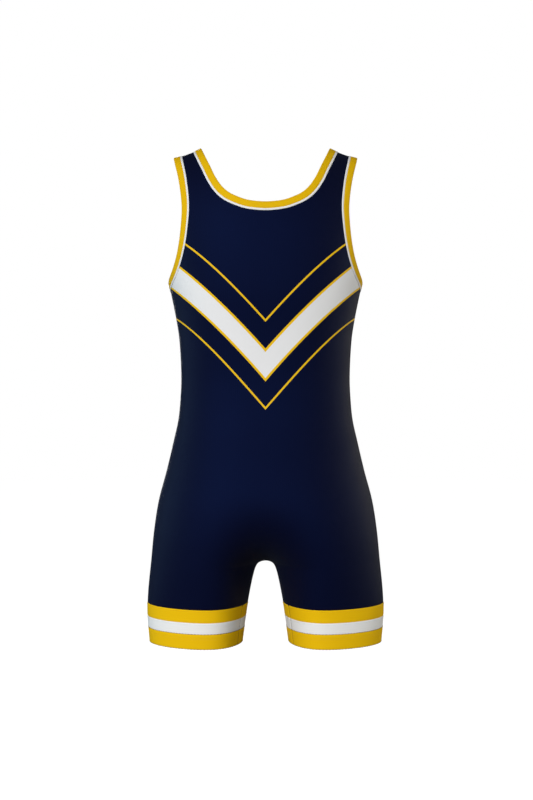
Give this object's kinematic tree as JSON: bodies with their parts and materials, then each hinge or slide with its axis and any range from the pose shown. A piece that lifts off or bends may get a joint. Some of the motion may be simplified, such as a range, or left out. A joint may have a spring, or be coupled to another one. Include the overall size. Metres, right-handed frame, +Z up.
{
  "type": "wrestling singlet",
  "caption": "Sleeveless one-piece wrestling singlet with scooped neck, bound neck and armholes, short fitted legs and banded hems, hollow and holding its worn shape",
  "frame": {"origin": "on the mid-line at the height of the inner shoulder corners, between the straps, where the garment is held", "axes": "+Z up along the garment, +Y out of the chest, -Y out of the back, +X towards the wearer's right hand; the garment mirrors across X = 0"},
  "size_m": [0.4004, 0.2392, 0.8345],
  "materials": {
    "navy_knit": "smooth tight knit, printed chevrons, soft sheen",
    "gold_binding": "smooth folded knit binding",
    "white_piping": "smooth narrow knit edging",
    "gold_band": "smooth tight knit",
    "white_band": "smooth tight knit",
    "gold_cuff": "smooth doubled knit"
  },
  "bodies": {
    "root": {"back_panel": "navy_knit", "front_panel": "navy_knit", "neck_binding": "gold_binding", "right_armhole_binding": "gold_binding", "left_armhole_binding": "gold_binding", "neck_piping": "white_piping", "right_armhole_piping": "white_piping", "left_armhole_piping": "white_piping", "right_leg_band": "gold_band", "left_leg_band": "gold_band", "right_leg_stripe": "white_band", "left_leg_stripe": "white_band", "right_leg_cuff": "gold_cuff", "left_leg_cuff": "gold_cuff"}
  },
  "joints": []
}
